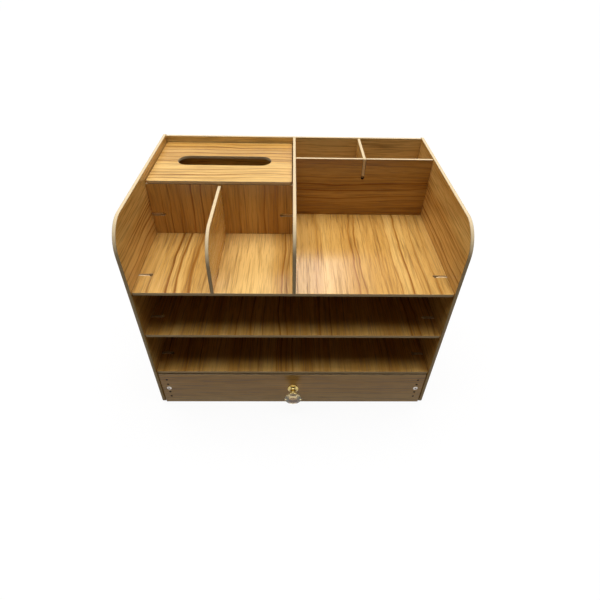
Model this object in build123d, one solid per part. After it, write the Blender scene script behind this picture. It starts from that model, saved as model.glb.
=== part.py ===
from build123d import *
import math
import os

# Desk organizer of thin laminated boards. On top are a tissue box, two cells, a tray and two pen cells,
# below them two open file bays and, at the bottom, one drawer. All sizes are in millimetres.
# X runs to the right, Y to the back and Z up. The origin is at the level that it stands on, in the middle
# of the space that it takes up with its knob.

# Boards of the carcass
width = 330.0  # over the outer faces of the side panels
depth = 223.0  # side panel from front edge to back edge
height = 258.0  # side panels
board = 3.5  # thickness of every board
corner_r = 30.0  # rounded top front corner of the upright boards
toe_r = 7.0  # rounded bottom front corner of a side panel
heel_r = 2.0  # rounded back corners of a side panel
front_setback = 1.0  # deck, shelves, small divider and drawer front behind the side panels' front edges
back_inset = 2.0  # back panel in front of the side panels' back edges
nose_r = 2.0  # rounded front corners of the deck and shelves

# Clear heights from the bottom up, and what ends below the side panels' top edges
base_lift = 2.0  # base panel above the table
drawer_bay = 52.2
lower_bay = 58.8
upper_bay = 56.7
back_drop = 0.5  # back panel and centre divider
pen_drop = 1.5  # pen wall and pen divider
lid_recess = 8.0  # top of the tissue lid

# Plan of the deck
tissue_depth = 104.5  # inside the tissue box, front to back
pen_depth = 58.0  # inside the pen cells, front to back
small_drop = 1.5  # small divider's top below the tissue wall's top

# Tissue lid and its rear rail
lid_play = 1.0  # between the lid and what stands round it
lid_seat = 0.2  # between the lid and the edges that it lies on
lid_corner_r = 3.0
lid_slot_length = 109.0
lid_slot_width = 25.0
rail_height = 15.0
rail_tenon_length = 8.0

# Screws with raised countersunk heads, and the end slots that they bite into
screw_d = 2.8
screw_length = 15.0
screw_tip = 2.5  # length of the point
screw_tip_d = 0.8
head_d = 5.6
head_dome = 0.5  # how far the head stands proud
recess_width = 0.8  # cross recess
recess_span = 3.2
recess_depth = 0.9
hole_play = 0.1  # round a screw in the board that it passes
slot_play = 0.2  # each side of a screw in its end slot
tip_room = 1.0  # end slot beyond the screw's point
eye_d = 4.2  # round hole at the end of a slot
screw_inset = 29.2  # end slots of flat boards from their front and back edges
back_screw_inset = 40.0  # end slots of the back panel from its bottom and top edges
tissue_screw_share = 0.405  # end slots of the tissue wall, as a share of its height
deck_screw_inset = 55.0  # screws under the centre divider from its front and back edges
divider_screw_shares = (0.19, 0.49)  # screws behind the centre divider, as shares of its height

# Tenons and the pen wall's lap slot
tenon_length = 16.0
tenon_play = 0.1
tenon_shy = 0.2  # how far a tenon's end stays below the face it comes out at
tenon_share = 0.52  # middle of an upright tenon, as a share of the tissue wall's height
small_tenon_shares = (0.3, 0.75)  # middles of the small divider's lower tenons, as shares of its length
drawer_tenon_shares = (0.25, 0.75)  # middles of the drawer bottom's tenons, as shares of its depth
lap_depth = 23.0

# Drawer
drawer_play = 0.75  # each side of the drawer front and back
drawer_lift = 1.0  # drawer front above the table
drawer_head = 2.4  # between the drawer front and the lower shelf
drawer_run = 0.3  # drawer box above the base panel
drawer_wall_room = 5.2  # between the drawer's walls and the lower shelf
drawer_stop = 0.4  # between the drawer front and the base panel's front edge
drawer_rear_room = 3.0  # between the drawer and the back panel
drawer_side_inset = 8.25  # middle of a drawer side from the end of the drawer front
drawer_bottom_lift = 2.0  # drawer bottom above the lower edges of the drawer's walls
pin_hole_d = 2.8  # small holes beside each drawer front screw
pin_hole_near = 7.5
pin_hole_far = 16.2

# Knob
knob_flange_d = 13.6
knob_flange_edge = 1.4
knob_shoulder_d = 11.6
knob_waist_d = 6.8
knob_waist_at = 4.4
knob_collar_d = 9.4
knob_collar_edge = 2.0
knob_base_length = 9.6
crystal_sides = 12
crystal_back_d = 8.4
crystal_shoulder_d = 14.6
crystal_d = 20.6
crystal_table_d = 10.5
crystal_shoulder_length = 2.6
crystal_back_length = 3.2
crystal_girdle_length = 0.8
crystal_front_length = 1.6
knob_screw_d = 4.0
knob_screw_grip = 7.0  # thread inside the knob base
knob_screw_head_d = 7.5
knob_screw_head = 2.4
knob_bore_play = 0.05
knob_bore_room = 1.0  # bore beyond the screw's end
knob_hole_play = 0.25

# Levels and faces worked out from the sizes above
base_top = base_lift + board
lower_z = base_top + drawer_bay
middle_z = lower_z + board + lower_bay
deck_z = middle_z + board + upper_bay
deck_top = deck_z + board
back_top = height - back_drop
pen_top = height - pen_drop
lid_z = height - lid_recess - board
wall_top = lid_z - lid_seat
small_top = wall_top - small_drop
crystal_lengths = (crystal_shoulder_length, crystal_back_length, crystal_girdle_length, crystal_front_length)
crystal_length = sum(crystal_lengths)
knob_reach = knob_base_length + crystal_length - front_setback
front = (knob_reach - depth) / 2
back = front + depth
side_in = width / 2 - board
half = board / 2
shelf_front = front + front_setback
back_rear = back - back_inset
back_face = back_rear - board
tissue_y = back_face - tissue_depth - board
pen_y = back_face - pen_depth - board
mid_x = (side_in + half) / 2
drawer_face = shelf_front + board
base_front = drawer_face + drawer_stop
drawer_z = base_top + drawer_run
drawer_wall_top = lower_z - drawer_wall_room
drawer_mid = (drawer_z + drawer_wall_top) / 2
drawer_rear = back_face - drawer_rear_room
drawer_x = side_in - drawer_play
drawer_side_x = drawer_x - drawer_side_inset
screw_r = screw_d / 2
head_r = head_d / 2
eye_r = eye_d / 2
slot_length = screw_length - board + tip_room
past = 1.0  # how far a cut runs past the face it starts at


def slab(x, y, z):
    """A board between two faces on each axis."""
    spans = (x, y, z)
    middle = [(low + high) / 2 for low, high in spans]
    return Pos(*middle) * Box(*[high - low for low, high in spans])


def about(middle, size):
    """The two faces of something of that size about a middle."""
    return middle - size / 2, middle + size / 2


def round_corner(upright, radius, front_edge, top_edge):
    """An upright board with one corner of its outline rounded."""
    toward_y = -1 if front_edge else 1
    toward_z = 1 if top_edge else -1
    edges = upright.edges().filter_by(Axis.X)
    corner = max(edges, key=lambda edge: toward_y * edge.center().Y + toward_z * edge.center().Z)
    return fillet(corner, radius)


def round_nose(flat, radius):
    """A flat board with its two front corners rounded."""
    return fillet(flat.edges().filter_by(Axis.Z).group_by(Axis.Y)[0], radius)


def fixing(point, inward, normal):
    """The place of one screw: X runs in from its head, Z is square to the board that it holds."""
    return Plane(origin=point, x_dir=inward, z_dir=normal).location


def turned(points, arc_from=None, arc_through=None):
    """A solid turned about X from (along, radius) points, one of its stretches an arc through a point."""
    lines = []
    for start, end in zip(points, points[1:] + points[:1]):
        if start == arc_from:
            lines.append(ThreePointArc(start, arc_through, end))
        else:
            lines.append(Line(start, end))
    return revolve(make_face(lines), Axis.X)


def cross_recess(top, depth_in):
    """The cross that a screwdriver turns, cut into a head whose top is at that place on X."""
    x = (top - past, top + depth_in)
    arm = about(0, recess_width)
    span = about(0, recess_span)
    return slab(x, arm, span) + slab(x, span, arm)


def screw():
    """One wood screw with a raised countersunk head, its rim at X 0."""
    dome_r = (head_r**2 + head_dome**2) / (2 * head_dome)
    dome_mid = math.sqrt(dome_r**2 - (head_r / 2) ** 2) - dome_r + head_dome
    crown = (-head_dome, 0)
    outline = [
        crown,
        (0, head_r),
        (head_r - screw_r, screw_r),
        (screw_length - screw_tip, screw_r),
        (screw_length, screw_tip_d / 2),
        (screw_length, 0),
    ]
    body = turned(outline, arc_from=crown, arc_through=(-dome_mid, head_r / 2))
    return body - cross_recess(-head_dome, recess_depth)


def screw_hole():
    """The countersunk hole that a screw passes in the board under its head."""
    return turned(
        [
            (-past, 0),
            (-past, head_r + hole_play),
            (0, head_r + hole_play),
            (head_r - screw_r, screw_r + hole_play),
            (board + past, screw_r + hole_play),
            (board + past, 0),
        ]
    )


def end_slot():
    """The slot and its eye in the end of the board that a screw holds."""
    end = board + slot_length
    through = about(0, board + 2 * past)
    slot = slab((board - past, end), about(0, screw_d + 2 * slot_play), through)
    return slot + Pos(end, 0, 0) * Cylinder(eye_r, board + 2 * past)


def cut(piece, places, tool):
    """A piece with the same cut made at each place."""
    for place in places:
        piece -= place * tool
    return piece


# Where the screws go, listed by the board that they hold
flat_boards = {
    "base_panel": (base_front, base_lift),
    "lower_shelf": (shelf_front, lower_z),
    "middle_shelf": (shelf_front, middle_z),
    "top_deck": (shelf_front, deck_z),
}
wall_height = wall_top - deck_top
tissue_screw = (tissue_y + half, deck_top + tissue_screw_share * wall_height)
rail_screw = (back_face - half, wall_top - rail_height / 2)


def side_fixings(side):
    """Screws through the left (-1) or right (1) side panel into the boards between the panels."""
    face = side * width / 2
    inward = (-side, 0, 0)
    places = {}
    for name, (front_edge, level) in flat_boards.items():
        rows = (front_edge + screw_inset, back_face - screw_inset)
        places[name] = [fixing((face, y, level + half), inward, (0, 0, 1)) for y in rows]
    levels = (back_screw_inset, back_top - back_screw_inset)
    places["back_panel"] = [fixing((face, back_face + half, z), inward, (0, 1, 0)) for z in levels]
    return places


left_fixings = side_fixings(-1)
right_fixings = side_fixings(1)
for name, (y, z) in (("tissue_front_wall", tissue_screw), ("tissue_rear_rail", rail_screw)):
    left_fixings[name] = [fixing((-width / 2, y, z), (1, 0, 0), (0, 1, 0))]
cross_fixings = [fixing((half, *tissue_screw), (-1, 0, 0), (0, 1, 0))]
deck_rows = (shelf_front + deck_screw_inset, back_face - deck_screw_inset)
deck_fixings = [fixing((0, y, deck_z), (0, 0, 1), (1, 0, 0)) for y in deck_rows]
divider_levels = [deck_top + share * (back_top - deck_top) for share in divider_screw_shares]
back_fixings = [fixing((0, back_rear, z), (0, -1, 0), (1, 0, 0)) for z in divider_levels]
drawer_sides = (-drawer_side_x, drawer_side_x)
drawer_front_fixings = [
    fixing((x, shelf_front, drawer_mid), (0, 1, 0), (1, 0, 0)) for x in drawer_sides
]
drawer_back_fixings = [
    fixing((x, drawer_rear, drawer_mid), (0, -1, 0), (1, 0, 0)) for x in drawer_sides
]

# Tenons, each as its three spans; a mortise is the same box with play round it and open past the face
tenon_z = about(deck_top + tenon_share * wall_height, tenon_length)
rail_y = (back_face - board, back_face)
rail_tenon = ((-half, half - tenon_shy), rail_y, about(wall_top - rail_height / 2, rail_tenon_length))
pen_wall_y = (pen_y, pen_y + board)
pen_tenon_left = ((tenon_shy - half, half), pen_wall_y, tenon_z)
pen_tenon_right = ((side_in, width / 2 - tenon_shy), pen_wall_y, tenon_z)
pen_divider_x = about(mid_x, board)
pen_divider_tenon = (pen_divider_x, (back_face, back_rear - tenon_shy), tenon_z)
small_divider_x = about(-mid_x, board)
small_tenon_back = (small_divider_x, (tissue_y, tissue_y + board - tenon_shy), tenon_z)
small_length = tissue_y - shelf_front
small_tenons_down = [
    (small_divider_x, about(shelf_front + share * small_length, tenon_length), (deck_z + tenon_shy, deck_top))
    for share in small_tenon_shares
]
drawer_depth = drawer_rear - board - drawer_face
drawer_bottom_z = (drawer_z + drawer_bottom_lift, drawer_z + drawer_bottom_lift + board)
drawer_side_inner = drawer_side_x - half
drawer_tenon_rows = [
    about(drawer_face + share * drawer_depth, tenon_length) for share in drawer_tenon_shares
]


def drawer_tenon(side, row):
    """One tenon of the drawer bottom, in the drawer side that it is pushed into."""
    reach = sorted((side * drawer_side_inner, side * (drawer_side_inner + board - tenon_shy)))
    return tuple(reach), row, drawer_bottom_z


def mortise(tenon, through_axis):
    """The hole for a tenon: play on its four sides, and open past both faces of the board."""
    spans = []
    for axis, (low, high) in enumerate(tenon):
        room = board if axis == through_axis else tenon_play
        spans.append((low - room, high + room))
    return slab(*spans)


# Carcass boards
def side_panel(side):
    """An upright end of the carcass, with the holes of its screws."""
    panel = slab(sorted((side * width / 2, side * side_in)), (front, back), (0, height))
    panel = round_corner(panel, corner_r, front_edge=True, top_edge=True)
    panel = round_corner(panel, toe_r, front_edge=True, top_edge=False)
    panel = round_corner(panel, heel_r, front_edge=False, top_edge=True)
    panel = round_corner(panel, heel_r, front_edge=False, top_edge=False)
    fixings = left_fixings if side < 0 else right_fixings
    for places in fixings.values():
        panel = cut(panel, places, screw_hole())
    if side > 0:
        panel -= mortise(pen_tenon_right, 0)
    return panel


def flat_board(name):
    """The base panel, a shelf or the deck, with end slots for the screws through the side panels."""
    front_edge, level = flat_boards[name]
    flat = slab((-side_in, side_in), (front_edge, back_face), (level, level + board))
    flat = round_nose(flat, nose_r)
    return cut(flat, left_fixings[name] + right_fixings[name], end_slot())


def top_deck():
    """The deck, with the screw holes of the centre divider and the mortises of the small divider."""
    deck = cut(flat_board("top_deck"), deck_fixings, screw_hole())
    for tenon in small_tenons_down:
        deck -= mortise(tenon, 2)
    return deck


def back_panel():
    """The back, between the side panels, with end slots, screw holes and the pen divider's mortise."""
    panel = slab((-side_in, side_in), (back_face, back_rear), (0, back_top))
    panel = cut(panel, left_fixings["back_panel"] + right_fixings["back_panel"], end_slot())
    panel = cut(panel, back_fixings, screw_hole())
    return panel - mortise(pen_divider_tenon, 1)


def centre_divider():
    """The upright board in the middle of the deck."""
    divider = slab((-half, half), (shelf_front, back_face), (deck_top, back_top))
    divider = round_corner(divider, corner_r, front_edge=True, top_edge=True)
    divider = cut(divider, cross_fixings, screw_hole())
    divider = cut(divider, deck_fixings + back_fixings, end_slot())
    return divider - mortise(pen_tenon_left, 0) - mortise(rail_tenon, 0)


def small_divider():
    """The low rounded board between the two front cells, with its tenons."""
    divider = slab(small_divider_x, (shelf_front, tissue_y), (deck_top, small_top))
    divider = round_corner(divider, corner_r, front_edge=True, top_edge=True)
    for tenon in [small_tenon_back, *small_tenons_down]:
        divider += slab(*tenon)
    return divider


def tissue_front_wall():
    """The front of the tissue box, screwed at both ends."""
    wall = slab((-side_in, -half), (tissue_y, tissue_y + board), (deck_top, wall_top))
    wall = cut(wall, left_fixings["tissue_front_wall"] + cross_fixings, end_slot())
    return wall - mortise(small_tenon_back, 1)


def tissue_rear_rail():
    """The strip that the back of the lid lies on, with a screw at one end and a tenon at the other."""
    rail = slab((-side_in, -half), rail_y, (wall_top - rail_height, wall_top))
    return cut(rail, left_fixings["tissue_rear_rail"], end_slot()) + slab(*rail_tenon)


def pen_wall():
    """The front of the pen cells, with end tenons and the lap slot for the pen divider."""
    wall = slab((half, side_in), pen_wall_y, (deck_top, pen_top))
    for tenon in (pen_tenon_left, pen_tenon_right):
        wall += slab(*tenon)
    slot_foot = pen_top - lap_depth
    through = (pen_y - past, pen_y + board + past)
    wall -= slab(about(mid_x, board + 2 * tenon_play), through, (slot_foot, pen_top + past))
    eye = Pos(mid_x, pen_y + half, slot_foot) * Rot(90, 0, 0) * Cylinder(eye_r, board + 2 * past)
    return wall - eye


def pen_divider():
    """The board between the pen cells: a hook in the pen wall's slot, a tenon in the back panel."""
    divider = slab(pen_divider_x, (pen_y + board, back_face), (deck_top, pen_top))
    divider += slab(pen_divider_x, pen_wall_y, (pen_top - lap_depth + eye_r, pen_top))
    return divider + slab(*pen_divider_tenon)


def tissue_lid():
    """The loose cover of the tissue box, with the long slot that a tissue is pulled through."""
    x = (-side_in + lid_play, -half - lid_play)
    y = (tissue_y, back_face - lid_play)
    lid = slab(x, y, (lid_z, lid_z + board))
    lid = fillet(lid.edges().filter_by(Axis.Z), lid_corner_r)
    slot = extrude(SlotOverall(lid_slot_length, lid_slot_width), board + 2 * past)
    return lid - Pos(sum(x) / 2, sum(y) / 2, lid_z - past) * slot


# Drawer
def drawer_front():
    """The visible front: holes for its two screws, for the knob, and the small holes beside the screws."""
    panel = slab((-drawer_x, drawer_x), (shelf_front, drawer_face), (drawer_lift, lower_z - drawer_head))
    panel = cut(panel, drawer_front_fixings, screw_hole())
    heights = [drawer_mid + sign * step for sign in (-1, 1) for step in (pin_hole_near, pin_hole_far)]
    bores = [(x, z, pin_hole_d / 2) for x in drawer_sides for z in heights]
    bores.append((0, drawer_mid, knob_screw_d / 2 + knob_hole_play))
    for x, z, radius in bores:
        panel -= Pos(x, shelf_front + half, z) * Rot(90, 0, 0) * Cylinder(radius, board + 2 * past)
    return panel


def drawer_back():
    """The back of the drawer, as wide as the front so that it guides the drawer between the side panels."""
    panel = slab((-drawer_x, drawer_x), (drawer_rear - board, drawer_rear), (drawer_z, drawer_wall_top))
    return cut(panel, drawer_back_fixings, screw_hole())


def drawer_side(side):
    """A side of the drawer: end slots for its screws, mortises for the drawer bottom."""
    x = about(side * drawer_side_x, board)
    wall = slab(x, (drawer_face, drawer_rear - board), (drawer_z, drawer_wall_top))
    index = drawer_sides.index(side * drawer_side_x)
    wall = cut(wall, [drawer_front_fixings[index], drawer_back_fixings[index]], end_slot())
    for row in drawer_tenon_rows:
        wall -= mortise(drawer_tenon(side, row), 0)
    return wall


def drawer_bottom():
    """The floor of the drawer, with tenons into both sides."""
    floor = slab(
        (-drawer_side_inner, drawer_side_inner), (drawer_face, drawer_rear - board), drawer_bottom_z
    )
    for side in (-1, 1):
        for row in drawer_tenon_rows:
            floor += slab(*drawer_tenon(side, row))
    return floor


# Knob: X of these solids is the distance out from the drawer front
knob_place = Plane(origin=(0, shelf_front, drawer_mid), x_dir=(0, -1, 0), z_dir=(1, 0, 0)).location


def knob_base():
    """The turned foot: flange, waist and collar, with a blind bore for the screw."""
    shoulder = (knob_flange_edge, knob_shoulder_d / 2)
    outline = [
        (0, 0),
        (0, knob_flange_d / 2),
        (knob_flange_edge, knob_flange_d / 2),
        shoulder,
        (knob_base_length - knob_collar_edge, knob_collar_d / 2),
        (knob_base_length, knob_collar_d / 2),
        (knob_base_length, 0),
    ]
    foot = turned(outline, arc_from=shoulder, arc_through=(knob_waist_at, knob_waist_d / 2))
    bore_depth = knob_screw_grip + knob_bore_room
    bore_r = knob_screw_d / 2 + knob_bore_play
    bore = turned([(-past, 0), (-past, bore_r), (bore_depth, bore_r), (bore_depth, 0)])
    return knob_place * (foot - bore)


def knob_crystal():
    """The clear head: flat facets that widen in two steps to a girdle and close to a small table."""
    widths = (crystal_back_d, crystal_shoulder_d, crystal_d, crystal_d, crystal_table_d)
    at = knob_base_length
    rings = []
    for length, across in zip((0, *crystal_lengths), widths):
        at += length
        section = Plane(origin=(at, 0, 0), x_dir=(0, 1, 0), z_dir=(1, 0, 0))
        rings.append(section * RegularPolygon(across / 2, crystal_sides))
    return knob_place * loft(rings, ruled=True)


def knob_screw():
    """The machine screw that comes through the drawer front from inside the drawer."""
    head_at = -board - knob_screw_head
    shank_r = knob_screw_d / 2
    head_half = knob_screw_head_d / 2
    outline = [
        (head_at, 0),
        (head_at, head_half),
        (-board, head_half),
        (-board, shank_r),
        (knob_screw_grip, shank_r),
        (knob_screw_grip, 0),
    ]
    return knob_place * (turned(outline) - cross_recess(head_at, recess_depth))


def screws(places):
    """A group of like screws, each its own solid."""
    return Compound(children=[place * screw() for place in places])


def all_places(fixings):
    """Every place in a table of fixings."""
    return [place for places in fixings.values() for place in places]


nodes = {
    "left_side_panel": side_panel(-1),
    "right_side_panel": side_panel(1),
    "back_panel": back_panel(),
    "base_panel": flat_board("base_panel"),
    "lower_shelf": flat_board("lower_shelf"),
    "middle_shelf": flat_board("middle_shelf"),
    "top_deck": top_deck(),
    "centre_divider": centre_divider(),
    "small_divider": small_divider(),
    "tissue_front_wall": tissue_front_wall(),
    "tissue_rear_rail": tissue_rear_rail(),
    "tissue_lid": tissue_lid(),
    "pen_wall": pen_wall(),
    "pen_divider": pen_divider(),
    "drawer_front": drawer_front(),
    "drawer_left_side": drawer_side(-1),
    "drawer_right_side": drawer_side(1),
    "drawer_back": drawer_back(),
    "drawer_bottom": drawer_bottom(),
    "knob_base": knob_base(),
    "knob_crystal": knob_crystal(),
    "knob_screw": knob_screw(),
    "left_panel_screws": screws(all_places(left_fixings)),
    "right_panel_screws": screws(all_places(right_fixings)),
    "tissue_wall_screw": screws(cross_fixings),
    "deck_screws": screws(deck_fixings),
    "back_panel_screws": screws(back_fixings),
    "drawer_front_screws": screws(drawer_front_fixings),
    "drawer_back_screws": screws(drawer_back_fixings),
}

os.makedirs("parts", exist_ok=True)
for node, shape in nodes.items():
    export_step(shape, f"parts/{node}.step")
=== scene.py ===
import math
import random

import bmesh
import bpy
from mathutils import Matrix, Vector


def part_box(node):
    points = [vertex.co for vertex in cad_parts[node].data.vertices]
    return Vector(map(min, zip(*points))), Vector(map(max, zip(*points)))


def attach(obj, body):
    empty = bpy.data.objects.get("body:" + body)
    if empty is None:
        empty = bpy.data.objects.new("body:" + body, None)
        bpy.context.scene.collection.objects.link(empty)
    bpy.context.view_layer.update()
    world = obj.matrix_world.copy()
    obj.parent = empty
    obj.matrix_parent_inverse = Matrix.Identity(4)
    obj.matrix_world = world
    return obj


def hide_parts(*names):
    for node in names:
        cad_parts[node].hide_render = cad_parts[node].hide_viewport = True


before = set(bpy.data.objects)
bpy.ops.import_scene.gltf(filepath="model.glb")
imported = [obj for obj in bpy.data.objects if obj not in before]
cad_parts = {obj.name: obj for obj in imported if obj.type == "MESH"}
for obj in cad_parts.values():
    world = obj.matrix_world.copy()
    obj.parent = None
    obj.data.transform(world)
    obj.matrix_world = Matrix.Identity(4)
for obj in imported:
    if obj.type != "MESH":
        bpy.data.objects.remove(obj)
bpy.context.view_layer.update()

# Side panels: the two upright ends, sawn from thin pressed board with a printed wood-grain skin on
# both faces. The top front corner is rounded large and the toe small, and the print runs from front
# to back. The sawn edges stay bare and pale, with their corners eased by a pass of sandpaper.
X, Y, Z = 0, 1, 2
MM_IN_M = 1000
WELD = 1e-6
FLAT_ANGLE = math.radians(1)
CORNER_ANGLE = math.radians(40)
EDGE_EASE = 0.0004
EASE_STEPS = 3
FACE_ON = 0.95
PRINTED, SAWN = 0, 1
GOLD_LIGHT = (0.85, 0.555, 0.195, 1)
GOLD_PALE = (0.76, 0.475, 0.150, 1)
GOLD = (0.68, 0.395, 0.108, 1)
GOLD_DEEP = (0.58, 0.305, 0.070, 1)
AMBER = (0.40, 0.175, 0.030, 1)
STREAK_BROWN = (0.15, 0.050, 0.010, 1)
BROWNING = {"Red": 0.88, "Green": 1.04, "Blue": 1.35}
# The bare core and the skin's dark line: how far under the face the line starts and is full.
CORE_CREAM = (0.73, 0.585, 0.365, 1)
CORE_SPECKS = 1300.0
CORE_SHADE = (0.24, 0.88)
CORE_ROUGH = (0.2, 0.7)
CORE_RELIEF = (0.4, 0.00006)
CORE_SHEEN = 0.06
# The skin's line is the print's layer, made darker than that as painted shade on the front edges.
SKIN_AND_SHADE_BROWN = (0.26, 0.16, 0.08, 1)
SKIN_STARTS = 0.000484
SKIN_FULL = 0.000308
SKIN_AND_SHADE_SHARE = 0.6
# How the print drifts: patches per metre across and along the grain, their detail, and the reach.
WANDER = ((6.0, 1.6), 1.5, 0.030)
BEND = ((12.0, 9.0), 1.0, 0.014)
RIPPLE = ((80.0, 30.0), 1.0, 0.0034)
# Its blots: patches per metre and their detail, then where they start and where they are full.
ZONES = ((14.0, 1.3), 1.0, 0.40, 0.60)
FADED = ((30.0, 7.0), 2.0, 0.30, 0.62)
LONG_PORES = ((560.0, 15.0), 1.0, 0.50, 0.70)
SHORT_PORES = ((980.0, 40.0), 1.0, 0.52, 0.68)
LONG_PORE_DEPTH = 0.32
SHORT_PORE_DEPTH = 0.26
FIBRES = ((1700.0, 60.0), 2.0, 0.6)
FIBRE_SHADE = (0.30, 0.87)
# Its growth rings: how many in a metre, and how slowly each one darkens.
WIDE_RINGS = (85.0, 2.2)
NARROW_RINGS = (270.0, 1.6)
UNEVEN_RATE = 0.31
UNEVEN_RINGS = 3.4
RING_CONTRAST = 1.6
RING_SHARP = 0.86
# How dark the rings are: what a zone or a blot adds, and what is there without it.
WIDE_DARK = (0.30, 0.04)
NARROW_DARK = (0.40, 0.10)
FADED_DARK = (0.6, 0.4)
STREAK_FADE = (0.5, 0.6)
# Its golden tones: lines per metre, their detail and roughness, and the stops of the colours.
TONES_PER_METRE = 34.0
TONE_LINES = (4.0, 0.6)
TONE_STOPS = ((0.28, GOLD_DEEP), (0.68, GOLD_PALE))
TONE_MIDDLE = 0.47
SHEET_SHIFT = 37.0
OTHER_FACE_SHIFT = 0.37
# Where rings and streaks start to turn amber and are amber, and the same for brown.
RINGS_DARKEN = ((0.03, 0.42), (0.38, 0.95))
STREAKS_DARKEN = ((0.0, 0.5), (0.35, 1.0))
STREAKS_IN_RAMP = 7
STREAK_SHARP_SIDE = 0.9
STREAK_FOOT = (0.3, 0.26)
BAND_SOFT = 6
SIDE_SOFT = 0.1
LACQUER_IOR = 1.5
LACQUER_SHEEN = 0.30
PORE_ROUGH = 0.16
PRINT_RELIEF = (0.25, 0.00005)
# The panels' streaks in millimetres: the place, the width of the soft side, and the strength.
PANEL_STREAKS = (
    (190, 4, 0.6), (197, 5, 0.85), (204, 4, 0.6), (209, 5, 0.7), (214, 3, 0.6), (220, 5, 0.8),
    (224, 3, 0.85),
)
PANEL_GLOSS = 0.16


def wire(tree, kind, feeds=None, **options):
    """One shader node with its options set and its inputs fed by numbers or by other nodes."""
    made = tree.nodes.new(kind)
    for option, value in options.items():
        setattr(made, option, value)
    for name, value in (feeds or {}).items():
        if isinstance(value, bpy.types.NodeSocket):
            tree.links.new(value, made.inputs[name])
        else:
            made.inputs[name].default_value = value
    return made


def maths(tree, operation, first, second=0.0, third=0.0):
    """One sum of up to three numbers."""
    feeds = {0: first, 1: second, 2: third}
    return wire(tree, "ShaderNodeMath", feeds, operation=operation).outputs[0]


def scaled(tree, value, by, plus):
    """A number multiplied and then added to."""
    return maths(tree, "MULTIPLY_ADD", value, by, plus)


def product(tree, *factors):
    """Several numbers multiplied."""
    total = factors[0]
    for factor in factors[1:]:
        total = maths(tree, "MULTIPLY", total, factor)
    return total


def step_between(tree, value, low, high):
    """Rises softly from 0 to 1 while the value goes from low to high."""
    feeds = {"Value": value, "From Min": low, "From Max": high}
    made = wire(tree, "ShaderNodeMapRange", feeds, interpolation_type="SMOOTHSTEP")
    return made.outputs["Result"]


def tint(tree, amount, first, second, blend="MIX"):
    """Two colours mixed by an amount."""
    made = wire(tree, "ShaderNodeMix", data_type="RGBA", blend_type=blend)
    for name, value in (("Factor", amount), ("A", first), ("B", second)):
        socket = next(s for s in made.inputs if s.name == name and s.enabled)
        if isinstance(value, bpy.types.NodeSocket):
            tree.links.new(value, socket)
        else:
            socket.default_value = value
    return next(s for s in made.outputs if s.enabled)


def shaded(tree, colour, level):
    """A colour darkened by a level, towards brown."""
    brown = {name: maths(tree, "POWER", level, power) for name, power in BROWNING.items()}
    shade = wire(tree, "ShaderNodeCombineColor", brown).outputs[0]
    return tint(tree, 1.0, colour, shade, "MULTIPLY")


def darkened(tree, colour, amount, to_amber, to_brown):
    """A colour taken to amber and then to the brown of the dark streaks."""
    colour = tint(tree, step_between(tree, amount, *to_amber), colour, AMBER)
    return tint(tree, step_between(tree, amount, *to_brown), colour, STREAK_BROWN)


def cloud(tree, sheet, per_metre, detail, roughness=0.5):
    """Soft random patches on the printed sheet, stretched along the grain."""
    feeds = {0: sheet, 1: (*per_metre, 1.0)}
    stretched = wire(tree, "ShaderNodeVectorMath", feeds, operation="MULTIPLY").outputs[0]
    feeds = {"Vector": stretched, "Scale": 1.0, "Detail": detail, "Roughness": roughness}
    return wire(tree, "ShaderNodeTexNoise", feeds).outputs["Fac"]


def sway(tree, sheet, per_metre, detail, reach):
    """A random drift to both sides, within a reach."""
    return scaled(tree, cloud(tree, sheet, per_metre, detail), reach, -reach / 2)


def blots(tree, sheet, per_metre, detail, start, full):
    """Random patches of the printed sheet, 0 outside them and 1 inside."""
    return step_between(tree, cloud(tree, sheet, per_metre, detail), start, full)


def lines(tree, ring, per_metre, shift, detail=1.0, roughness=0.5):
    """Random lines that follow the growth rings."""
    along = scaled(tree, ring, per_metre, shift)
    feeds = {"W": along, "Scale": 1.0, "Detail": detail, "Roughness": roughness}
    return wire(tree, "ShaderNodeTexNoise", feeds, noise_dimensions="1D").outputs["Fac"]


def growth_rings(tree, ring, shift, per_metre, rise):
    """Rings that darken slowly and end in one sharp edge, each ring with its own strength."""
    uneven = lines(tree, ring, per_metre * UNEVEN_RATE, shift)
    count = scaled(tree, uneven, UNEVEN_RINGS, scaled(tree, ring, per_metre, shift))
    share = maths(tree, "FRACT", count)
    number = maths(tree, "FLOOR", count)
    chance = wire(tree, "ShaderNodeTexWhiteNoise", {"W": number}, noise_dimensions="1D")
    strength = maths(tree, "POWER", chance.outputs["Value"], RING_CONTRAST)
    slow = maths(tree, "POWER", share, rise)
    return product(tree, strength, slow, step_between(tree, share, 1.0, RING_SHARP))


wood_print = bpy.data.node_groups.new("wood_grain_print", "ShaderNodeTree")
for socket in ("Across", "Along", "Sheet", "Streaks", "Tone"):
    wood_print.interface.new_socket(socket, in_out="INPUT", socket_type="NodeSocketFloat")
wood_print.interface.new_socket("Colour", in_out="OUTPUT", socket_type="NodeSocketColor")
for socket in ("Shade", "Bend", "Fade"):
    wood_print.interface.new_socket(socket, in_out="OUTPUT", socket_type="NodeSocketFloat")
entry = wood_print.nodes.new("NodeGroupInput").outputs
feeds = {"X": entry["Across"], "Y": entry["Along"], "Z": entry["Sheet"]}
sheet = wire(wood_print, "ShaderNodeCombineXYZ", feeds).outputs[0]
wander = sway(wood_print, sheet, *WANDER)
bend = maths(wood_print, "ADD", sway(wood_print, sheet, *BEND), sway(wood_print, sheet, *RIPPLE))
ring = maths(wood_print, "ADD", entry["Across"], maths(wood_print, "ADD", wander, bend))
shift = maths(wood_print, "MULTIPLY", entry["Sheet"], SHEET_SHIFT)
zone = blots(wood_print, sheet, *ZONES)
fade = blots(wood_print, sheet, *FADED)
wide = growth_rings(wood_print, ring, shift, *WIDE_RINGS)
narrow = growth_rings(wood_print, ring, shift, *NARROW_RINGS)
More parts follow.
